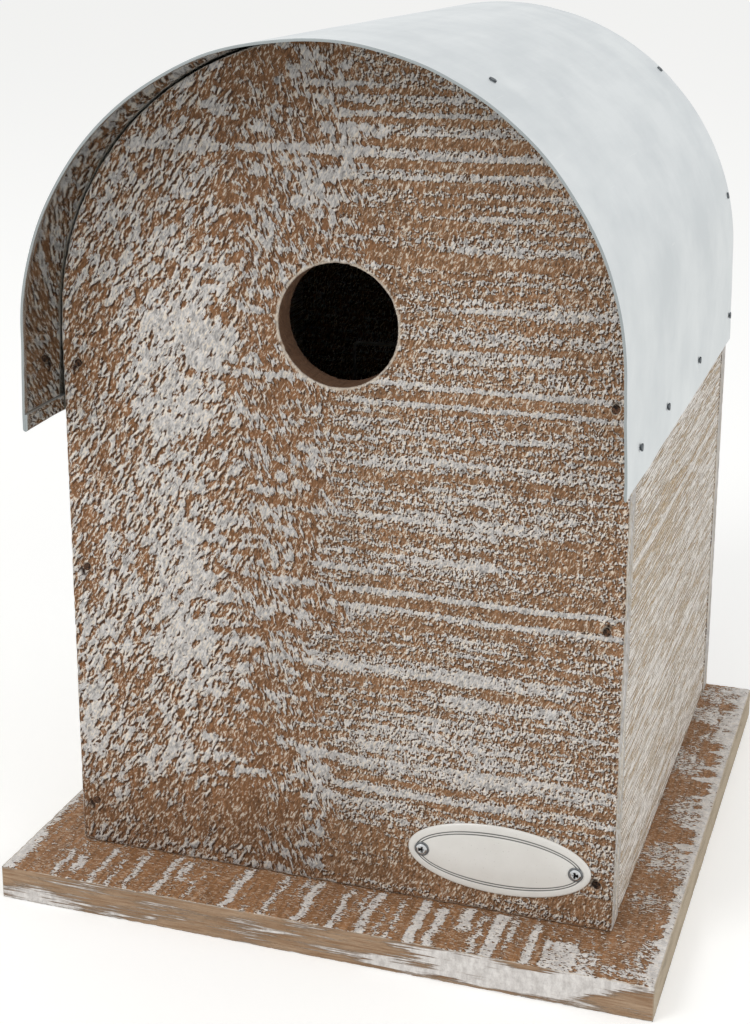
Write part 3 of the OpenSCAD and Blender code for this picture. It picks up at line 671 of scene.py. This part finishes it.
def entranceRadius(points):
    return np.hypot(points[:, 0] - entrance["x"], points[:, 2] - entrance["z"])


def entranceWall(points, normals):  # 1 on the wall of the entrance hole
    outside = ramp(entranceRadius(points), entrance["radius"], entrance["radius"] + 0.5)
    return (1 - outside) * (1 - ramp(np.abs(normals[:, 1]), 0.3, 0.7))


def entranceRim(points, normals):  # the saw splintered the hole's rim and bared pale wood
    radius = entranceRadius(points)
    turn = np.arctan2(points[:, 2] - entrance["z"], points[:, 0] - entrance["x"])
    wide = 0.16 + grainNoise(turn * 6, turn * 0, 95, 2) * 0.5
    return 0.85 * hump(radius, entrance["radius"] + 0.3, wide, 0.35) * ramp(np.abs(normals[:, 1]), 0.2, 0.5)


def frontShadeAndStain(points, normals):  # darker under the arch as painted shade from the roof, darker along the foot as painted shade and darker stain, and darker in a band down the middle
    x, z = points[:, 0], points[:, 2]
    top = ramp(z, 165, 222) * (0.45 + 0.35 * ramp(-x, -20, 40))
    foot = (1 - ramp(z, 20, 44)) * (0.25 + 0.5 * ramp(-x, -20, 20))
    middle = 0.35 * hump(x, -8, 12, 16)
    return np.minimum(1, np.maximum(top, foot) + middle)


def nailSlitShades(points, normals):  # slits where the nails split the board, coloured dark as painted shade in the slits
    total = points[:, 0] * 0
    halfWidth, halfLength = nailSlit["half"]
    for x, z, side in nailHoles:
        across, along = leaning(points[:, 0] - x, points[:, 2] - z, nailSlit["lean"] * side)
        ragged = grainNoise(points[:, 0] / 0.8, points[:, 2] / 0.8, 96) * 0.5
        outwards = np.hypot(across / halfWidth, along / halfLength) + ragged
        total = np.maximum(total, 1 - ramp(outwards, 0.8, 1.15))
    return total * (normals[:, 1] < -0.3)


def sawnEnds(points, normals):  # the base's ends: plain sawn wood
    return ramp(np.abs(normals[:, 0]), 0.6, 0.85)


frontBoard["marks"] = {"bareWood": entranceWall, "wornRim": entranceRim, "nailBruise": nailSlitShades,
                       "aged": frontShadeAndStain}
baseBoard["marks"] = {"bareWood": sawnEnds}
baseBoard["edgeGrain"] = baseEdge
backBoard["marks"] = doorBoard["marks"] = sideBoard["marks"] = {}


def makeBoards():
    for node, (name, body, finish, grain, net) in boards.items():
        mesh = remeshed(node, name, net * mm)
        sawBoard(mesh, finish, grain)
        newPiece(name, mesh, body, whitewashedPine(name + "Pine", finish), (node,))
        print(name, "has", len(mesh.polygons), "faces")


makeBoards()


# ---- zinc sheet: rolled titanium-zinc, bent over the arch, weathered to a dull blue-grey outside
# The inside has kept the mill's shine, so it mirrors the boards darkly.

zincFinish = {
    "dull": "#cdd2d4", "pale": "#dadedf", "scratch": "#e6e8e8", "inside": "#b4b5b4", "cut": "#9da3a4",
    "roughOut": (0.44, 0.52), "roughIn": (0.03, 0.07),
}


def zincSheet():
    material, add = newMaterial("titaniumZincSheet")
    place = inMm(add)
    inner = readAttribute(add, "innerFace")
    clouds = streaks(add, place, 26, 26, 1, 4, 0.6)
    rolling = streaks(add, place, 7, 60, 2, 4, 0.7)  # rolling lines run from front to back
    scratches = streaks(add, place, 0.5, 22, 3, 2, 0.5)
    tone = add("Math MULTIPLY_ADD", {1: 0.5}, {0: rolling, 2: clouds})
    toneShade = add("MapRange", {"From": (0.58, 0.92)}, tone)
    outside = add("Mix RGBA", {6: zincFinish["dull"], 7: zincFinish["pale"]}, toneShade)
    scratched = add("MapRange", {"From": (0.7, 0.76), "To": (0, 0.3)}, scratches)
    marked = add("Mix RGBA", {7: zincFinish["scratch"]}, {0: scratched, 6: outside})
    # the cut edges and the faces that look down are darker as painted shade
    cut = readAttribute(add, "cutEdge")
    edged = add("Mix RGBA", {7: zincFinish["cut"]}, {0: cut, 6: marked})
    colour = add("Mix RGBA", {7: zincFinish["inside"]}, {0: inner, 6: edged})
    roughOut = add("MapRange", {"To": zincFinish["roughOut"]}, clouds)
    roughIn = add("MapRange", {"To": zincFinish["roughIn"]}, clouds)
    rough = add("Mix", None, {0: inner, 2: roughOut, 3: roughIn})
    bump = add("Bump", {"Strength": 0.25, "Distance": 0.05 * mm}, {"Height": rolling})
    shader = add("BsdfPrincipled", {"Metallic": 1.0},
                 {"Base Color": colour, "Roughness": rough, "Normal": bump})
    return finishMaterial(material, shader)


roof = {  # mm; the sheet is seated 0.2 off the boards, its hems point inwards
    "middleRadius": 77.55, "thickness": 0.7, "springLine": 162.0, "flare": 0.6,
    "rightLow": 133.0, "leftLow": 138.0, "hem": 4.5, "hemCut": 5.0, "taper": 3.0,
    "frontRight": -89.5, "frontLeft": -93.5, "back": 91.5,
    "step": 1.6, "hemSteps": 4, "foldSteps": 7, "legSteps": 18, "rows": 116, "soft": 0.16, "softAngle": 50,
    "wave": 0.25, "lip": 0.3, "lipReach": 3.0, "lowWave": 0.7, "lowReach": 5,
    "tacksY": (-69.0, -29.5, 24.5, 88.0), "tackUp": 9.0, "frontTacks": (-60.0, 60.0), "frontTackY": -69.0,
    "rearTacks": (-48.0, -14.0, 14.0, 48.0), "rearTackY": 88.0,
    "dent": 0.35, "dentReach": 3.4, "heldReach": 16,
}


def roofPath():  # middle of the sheet from the right hem's free edge, over the arch, to the left hem's
    fold = roof["thickness"] / 2
    radius, spring, flare = roof["middleRadius"], roof["springLine"], roof["flare"]
    inner = radius - roof["thickness"]
    legs = []
    for side, low in ((1, roof["rightLow"]), (-1, roof["leftLow"])):
        hem = np.linspace(low + roof["hem"], low + 2 * fold, roof["hemSteps"])
        leg = [(side * (inner + flare), z) for z in hem]
        for turn in np.linspace(0, math.pi, roof["foldSteps"])[1:-1]:
            leg.append((side * (inner + flare + fold - fold * math.cos(turn)),
                        low + 2 * fold - fold * math.sin(turn)))
        for z in np.linspace(low + 2 * fold, spring, roof["legSteps"]):
            leg.append((side * (radius + flare * min(1, (spring - z) / (spring - low - roof["hem"]))), z))
        legs.append(leg)
    turns = np.linspace(0, math.pi, int(math.pi * radius / roof["step"]))[1:-1]
    arch = [(radius * math.cos(turn), spring + radius * math.sin(turn)) for turn in turns]
    return legs[0] + arch + legs[1][::-1]


def tackSpots():  # x, y, z and the way out of the sheet, for each nail in the roof
    spots = []
    radius = roof["middleRadius"]
    for side, low in ((1, roof["rightLow"]), (-1, roof["leftLow"])):
        spots += [((side * radius, y, low + roof["tackUp"]), (side, 0, 0)) for y in roof["tacksY"]]
    for angles, y in ((roof["frontTacks"], roof["frontTackY"]), (roof["rearTacks"], roof["rearTackY"])):
        for angle in angles:
            way = (math.sin(math.radians(angle)), 0, math.cos(math.radians(angle)))
            spots.append(((radius * way[0], y, roof["springLine"] + radius * way[2]), way))
    return spots


def makeRoof():
    path = np.array(roofPath())
    rows, radius, spring = roof["rows"], roof["middleRadius"], roof["springLine"]
    mesh = bpy.data.meshes.new("roofSheet")
    part = np.linspace(0, 1, rows)
    x = np.repeat(path[:, 0][:, None], rows, axis=1)
    z = np.repeat(path[:, 1][:, None], rows, axis=1)
    front = roof["frontLeft"] + (roof["frontRight"] - roof["frontLeft"]) * (x / radius + 1) / 2
    number = np.arange(len(path))[:, None]
    # the right leg is cut back to a point at the front, and so are the hem and half its fold
    leg = ramp(z, spring, roof["rightLow"] + 2) * (x > 0)
    hemRows = roof["hemSteps"] + roof["foldSteps"] // 2
    hem = (number < hemRows) * (1 - number / hemRows)
    front = front + leg * roof["taper"] + hem * roof["hemCut"]
    y = front + (roof["back"] - front) * part[None, :]
    lift = np.maximum(z - spring, 0)
    away = np.hypot(x, lift)
    outX, outZ = x / away, lift / away
    along = np.where(z > spring, np.arctan2(x, z - spring) * radius,
                     np.sign(x) * (radius * math.pi / 2 + spring - z))
    swell = grainNoise(along / 46, y / 60, 501, 2) * roof["wave"]
    lip = np.exp(-(y - front) / roof["lipReach"]) * grainNoise(along / 17, y * 0, 502) * roof["lip"]
    lip = lip * (z > spring - 8)  # above the legs only
    aboveLow = np.abs(z - np.where(x > 0, roof["rightLow"], roof["leftLow"]))
    lowEdge = np.exp(-aboveLow / roof["lowReach"]) * (z < spring)
    fromTacks = np.minimum(np.abs(y - roof["frontTackY"]), np.abs(y - roof["rearTackY"]))
    nailed = np.exp(-fromTacks / roof["heldReach"])
    shift = swell * (1 - nailed) + lip  # the nails hold the sheet down on the front and back boards
    for (sx, sy, sz), way in tackSpots():  # the hammer left a shallow dent round each nail
        gap = np.sqrt((x - sx) ** 2 + (y - sy) ** 2 + (z - sz) ** 2)
        shift = shift - roof["dent"] * np.exp(-(gap / roof["dentReach"]) ** 2)
    x = x + outX * shift
    z = z + outZ * shift + lowEdge * grainNoise(y / 22, y * 0, 503) * roof["lowWave"]
    points = np.stack([x, y, z], axis=2).reshape(-1, 3) * mm
    faces = [(i * rows + j, i * rows + j + 1, (i + 1) * rows + j + 1, (i + 1) * rows + j)
             for i in range(len(path) - 1) for j in range(rows - 1)]
    mesh.from_pydata([tuple(p) for p in points], [], faces)
    mesh.update()
    sheet = newPiece("roofSheet", mesh, house, zincSheet(), ("roof_sheet",))
    thick = sheet.modifiers.new("sheetThickness", "SOLIDIFY")
    thick.thickness = roof["thickness"] * mm
    thick.offset = 0
    addBevel(sheet, roof["soft"], roof["softAngle"])
    graph = bpy.context.evaluated_depsgraph_get()
    solid = bpy.data.meshes.new_from_object(sheet.evaluated_get(graph))
    sheet.modifiers.clear()
    sheet.data = solid
    points = readVertices(solid, "co") / mm
    normals = readVertices(solid, "normal")
    lift = np.maximum(points[:, 2] - spring, 0)
    outward = (normals[:, 0] * points[:, 0] + normals[:, 2] * lift) / np.hypot(points[:, 0], lift)
    setAttribute(solid, "innerFace", 1 - ramp(outward, -0.6, -0.3))
    # the sheet's cut ends and the faces that look down carry the painted shade
    endFace, underFace = ramp(np.abs(normals[:, 1]), 0.5, 0.8), ramp(-normals[:, 2], 0.5, 0.8)
    setAttribute(solid, "cutEdge", np.maximum(endFace, underFace))
    print("roofSheet has", len(solid.polygons), "faces")


makeRoof()


# ---- nails, screws, hinges and catch

plate = {  # mm; the oval plate itself comes last, but the finish of its screws needs its place
    "x": 46.0, "z": 25.7, "halfWidth": 25.0, "halfHeight": 10.0, "face": -73.5, "around": 160,
    "rim": 0.42, "rimReach": 0.45, "dome": 0.45, "domeReach": 5.5, "lines": (2.35, 3.05), "lineDeep": 0.12,
    "insets": (0, 0.05, 0.15, 0.3, 0.5, 0.9, 1.5), "besideLine": (-0.24, -0.12, -0.04, 0.04, 0.12, 0.24),
    "innerSteps": 12, "innerFrom": 3.6, "innerTo": 9.1, "screwOut": 21.0, "screwTurn": 20,
    "ringRadius": 1.75, "ringHalf": 0.3, "ringLift": 0.78, "ringFlat": 0.7, "ringAround": 40, "ringSteps": 8,
}


def platedSteel(name, light, dark, rough, spangle):  # zinc plating: cool, clean, finely spangled
    material, add = newMaterial(name)
    place = inMm(add)
    crystals = add("TexVoronoi", {"Scale": 1 / spangle}, place)
    clouds = streaks(add, place, 5, 5, 2, 4, 0.6)
    colour = add("Mix RGBA", {6: dark, 7: light}, clouds)
    rub = add("Math MULTIPLY_ADD", {1: 0.12, 2: rough - 0.06}, clouds)
    grains = add("Math MULTIPLY_ADD", {1: 0.06}, {0: crystals, 2: rub})
    bump = add("Bump", {"Strength": 0.2, "Distance": 0.04 * mm}, {"Height": clouds})
    shader = add("BsdfPrincipled", {"Metallic": 1.0},
                 {"Base Color": colour, "Roughness": grains, "Normal": bump})
    return finishMaterial(material, shader)


def crossHeadScrew(name):  # plated pan heads, the cross recess dark as painted shade
    material, add = newMaterial(name)
    place = inMm(add)
    fromPlate = add("VectorMath SUBTRACT", {1: (plate["x"], 0, plate["z"])}, place)
    mirrored = add("VectorMath ABSOLUTE", None, fromPlate)
    fromScrew = add("VectorMath SUBTRACT", {1: (plate["screwOut"], 0, 0)}, mirrored)
    turned = add("VectorRotate Y_AXIS", {"Angle": math.radians(plate["screwTurn"])}, fromScrew)
    arms = add("VectorMath ABSOLUTE", None, turned)
    split = add("SeparateXYZ", None, arms)
    near = add("Math MINIMUM", None, {0: split.outputs["X"], 1: split.outputs["Z"]})
    far = add("Math MAXIMUM", None, {0: split.outputs["X"], 1: split.outputs["Z"]})
    armShade = add("MapRange", {"From": (0.2, 0.34), "To": (1.0, 0.0)}, near)
    armEnd = add("MapRange", {"From": (0.8, 1.0), "To": (1.0, 0.0)}, far)
    crossShade = add("Math MULTIPLY", None, {0: armShade, 1: armEnd})
    clouds = streaks(add, place, 2, 2, 2, 4, 0.6)
    steel = add("Mix RGBA", {6: "#a9abac", 7: "#dadcdd"}, clouds)
    # the cross recess takes the painted shade
    colour = add("Mix RGBA", {7: "#211d1a"}, {0: crossShade, 6: steel})
    dull = add("Math MULTIPLY_ADD", {1: 0.4, 2: 0.26}, crossShade)
    shader = add("BsdfPrincipled", {"Metallic": 1.0}, {"Base Color": colour, "Roughness": dull})
    return finishMaterial(material, shader)


def weatheredNail(name, dark, light):  # blank steel nails, darkened by the weather
    material, add = newMaterial(name)
    place = inMm(add)
    rust = streaks(add, place, 0.7, 0.7, 1, 4, 0.7)
    rustShade = add("MapRange", {"From": (0.42, 0.6)}, rust)
    colour = add("Mix RGBA", {6: dark, 7: light}, rustShade)
    bump = add("Bump", {"Strength": 0.5, "Distance": 0.1 * mm}, {"Height": rust})
    shader = add("BsdfPrincipled", {"Metallic": 0.7, "Roughness": 0.62},
                 {"Base Color": colour, "Normal": bump})
    return finishMaterial(material, shader)


def planedPine():  # planed pine, bare: yellow-brown with darker year rings along the grain
    material, add = newMaterial("planedPine")
    place = inMm(add)
    rings = streaks(add, place, 2.4, 60, 1, 3, 0.6, 0, 0.4)
    pores = streaks(add, place, 0.4, 6, 2, 3, 0.6)
    ringShade = add("MapRange", {"From": (0.38, 0.62)}, rings)
    colour = add("Mix RGBA", {6: "#c39a68", 7: "#dcbb8c"}, ringShade)
    poreShade = add("MapRange", {"From": (0.3, 0.7), "To": (0.86, 1.06)}, pores)
    toned = add("VectorMath SCALE", None, {0: colour, "Scale": poreShade})
    bump = add("Bump", {"Strength": 0.3, "Distance": 0.2 * mm}, {"Height": pores})
    shader = add("BsdfPrincipled", {"IOR": 1.47, "Roughness": 0.62}, {"Base Color": toned, "Normal": bump})
    return finishMaterial(material, shader)


platedFinish = platedSteel("brightZincPlatedSteel", "#c9cbcc", "#a5a8a9", 0.34, 0.9)
boardNail = weatheredNail("stainedBoardNail", "#17100c", "#6b4d39")  # their heads took the boards' stain
sheetNail = weatheredNail("dullSheetNail", "#43474a", "#777c80")
# dark steel for the rings round the plate screws: painted shade of their dimples
plateRingShade = platedSteel("dullPlateRingShade", "#8b8d8e", "#55585a", 0.3, 0.5)
plateScrew = crossHeadScrew("crossHeadPlateScrew")
pineFinish = planedPine()
fittingAngle = 35  # degrees; only edges sharper than this are softened
carried = (  # CAD nodes whose shape is right, by finish and edge softening in mm
    (platedFinish, 0.08, ("hinge_frame_screws", "hinge_door_screws", "turn_button_washer", "hanger_screws")),
    (platedFinish, 0.1, ("base_screws",)),
    (platedFinish, 0.12, ("turn_button_screw",)),
    (platedFinish, 0.15, ("upper_hinge_frame_leaf", "upper_hinge_door_leaf", "upper_hinge_pin",
                          "lower_hinge_frame_leaf", "lower_hinge_door_leaf", "lower_hinge_pin")),
    (platedFinish, 0.2, ("hanger_plate",)),
    (plateScrew, 0.08, ("name_plate_screws",)),
    (pineFinish, 0.5, ("door_stop",)),
    (pineFinish, 0.6, ("turn_button",)),
    (boardNail, 0.1, ("front_brads", "back_brads")),
    (sheetNail, 0.15, ("roof_tacks_left", "roof_tacks_right", "roof_tacks_front", "roof_tacks_back")),
)


def dressCarriedNodes():
    for finish, soft, nodes in carried:
        for node in nodes:
            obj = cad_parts[node]
            if not obj.material_slots:
                obj.data.materials.append(finish)
            for slot in obj.material_slots:
                slot.material = finish
            addBevel(obj, soft, fittingAngle)
    print("fittings are finished")


dressCarriedNodes()


# ---- oval plate: thin pressed steel, cream-white enamel, a double line engraved near the rim

def plateHeight(inset):
    rise = plate["rim"] * np.minimum(1, np.sqrt(np.clip(inset / plate["rimReach"], 0, 1)))
    crown = plate["dome"] * (1 - np.exp(-inset / plate["domeReach"]))
    grooves = sum(hump(inset, line, 0.06, 0.1) for line in plate["lines"]) * plate["lineDeep"]
    return rise + crown - grooves


def creamEnamel():
    material, add = newMaterial("creamEnamel")
    place = inMm(add)
    line = readAttribute(add, "engraved")
    clouds = streaks(add, place, 9, 9, 1, 4, 0.6)
    specks = streaks(add, place, 0.5, 0.5, 2, 2, 0.5)
    ground = add("Mix RGBA", {6: "#dad7d1", 7: "#eceae5"}, clouds)
    speckOn = add("MapRange", {"From": (0.7, 0.76), "To": (0, 0.35)}, specks)
    grimy = add("Mix RGBA", {7: "#8d8478"}, {0: speckOn, 6: ground})
    colour = add("Mix RGBA", {7: "#5d5e5c"}, {0: line, 6: grimy})
    rough = add("MapRange", {"To": (0.1, 0.2)}, clouds)
    bump = add("Bump", {"Strength": 0.12, "Distance": 0.05 * mm}, {"Height": clouds})
    shader = add("BsdfPrincipled", {"IOR": 1.52},
                 {"Base Color": colour, "Roughness": rough, "Normal": bump})
    return finishMaterial(material, shader)


def outwardMesh(net, name):  # a mesh of the net, with every face turned outwards
    bmesh.ops.recalc_face_normals(net, faces=net.faces)
    mesh = bpy.data.meshes.new(name)
    net.to_mesh(mesh)
    net.free()
    return mesh


def makePlate():
    insets = list(plate["insets"])
    insets += [line + beside for line in plate["lines"] for beside in plate["besideLine"]]
    insets += list(np.linspace(plate["innerFrom"], plate["innerTo"], plate["innerSteps"]))
    insets = np.array(sorted(insets))
    around = plate["around"]
    angles = np.linspace(0, 2 * math.pi, around, endpoint=False)
    points = [(plate["halfWidth"] * math.cos(a), 0.0, plate["halfHeight"] * math.sin(a)) for a in angles]
    marks = [0.0] * around
    engraved = np.maximum(*(hump(insets, line, 0.1, 0.1) for line in plate["lines"]))
    for inset, high, mark in zip(insets, plateHeight(insets), engraved):
        wide, tall = plate["halfWidth"] - inset, plate["halfHeight"] - inset
        points += [(wide * math.cos(a), high, tall * math.sin(a)) for a in angles]
        marks += [mark] * around
    last = len(insets) * around
    faces = [(r + k, r + (k + 1) % around, r + around + (k + 1) % around, r + around + k)
             for r in range(0, last, around) for k in range(around)]
    points.append((0.0, plateHeight(plate["halfHeight"]), 0.0))
    marks.append(0.0)
    faces += [(last + k, last + (k + 1) % around, len(points) - 1) for k in range(around)]
    faces.append(tuple(range(around - 1, -1, -1)))
    mesh = bpy.data.meshes.new("plateNet")
    mesh.from_pydata([((px + plate["x"]) * mm, (plate["face"] - py) * mm, (pz + plate["z"]) * mm)
                      for px, py, pz in points], [], faces)
    net = bmesh.new()
    net.from_mesh(mesh)
    bpy.data.meshes.remove(mesh)
    mesh = outwardMesh(net, "ovalPlate")
    setAttribute(mesh, "engraved", marks)
    newPiece("ovalPlate", mesh, house, creamEnamel(), ("name_plate",))

    net = bmesh.new()  # a pressed ring round each screw, in dark steel as painted shade of the screw's dimple
    turns, steps = plate["ringAround"], plate["ringSteps"]
    half = plate["ringHalf"]
    for side in (-1, 1):
        x, y = plate["x"] + side * plate["screwOut"], plate["face"] - plate["ringLift"]
        middle = Vector((x, y, plate["z"]))
        loops = []
        for k in range(turns):
            a = 2 * math.pi * k / turns
            way = Vector((math.cos(a), 0, math.sin(a)))
            loops.append([net.verts.new((middle + way * (plate["ringRadius"] + half * math.cos(b))
                                         + Vector((0, -half * plate["ringFlat"] * math.sin(b), 0))) * mm)
                          for b in np.linspace(0, 2 * math.pi, steps, endpoint=False)])
        for k in range(turns):
            here, there = loops[k], loops[(k + 1) % turns]
            for n in range(steps):
                net.faces.new((here[n], here[(n + 1) % steps], there[(n + 1) % steps], there[n]))
    newPiece("plateRings", outwardMesh(net, "plateRings"), house, plateRingShade)
    print("ovalPlate is pressed")


makePlate()
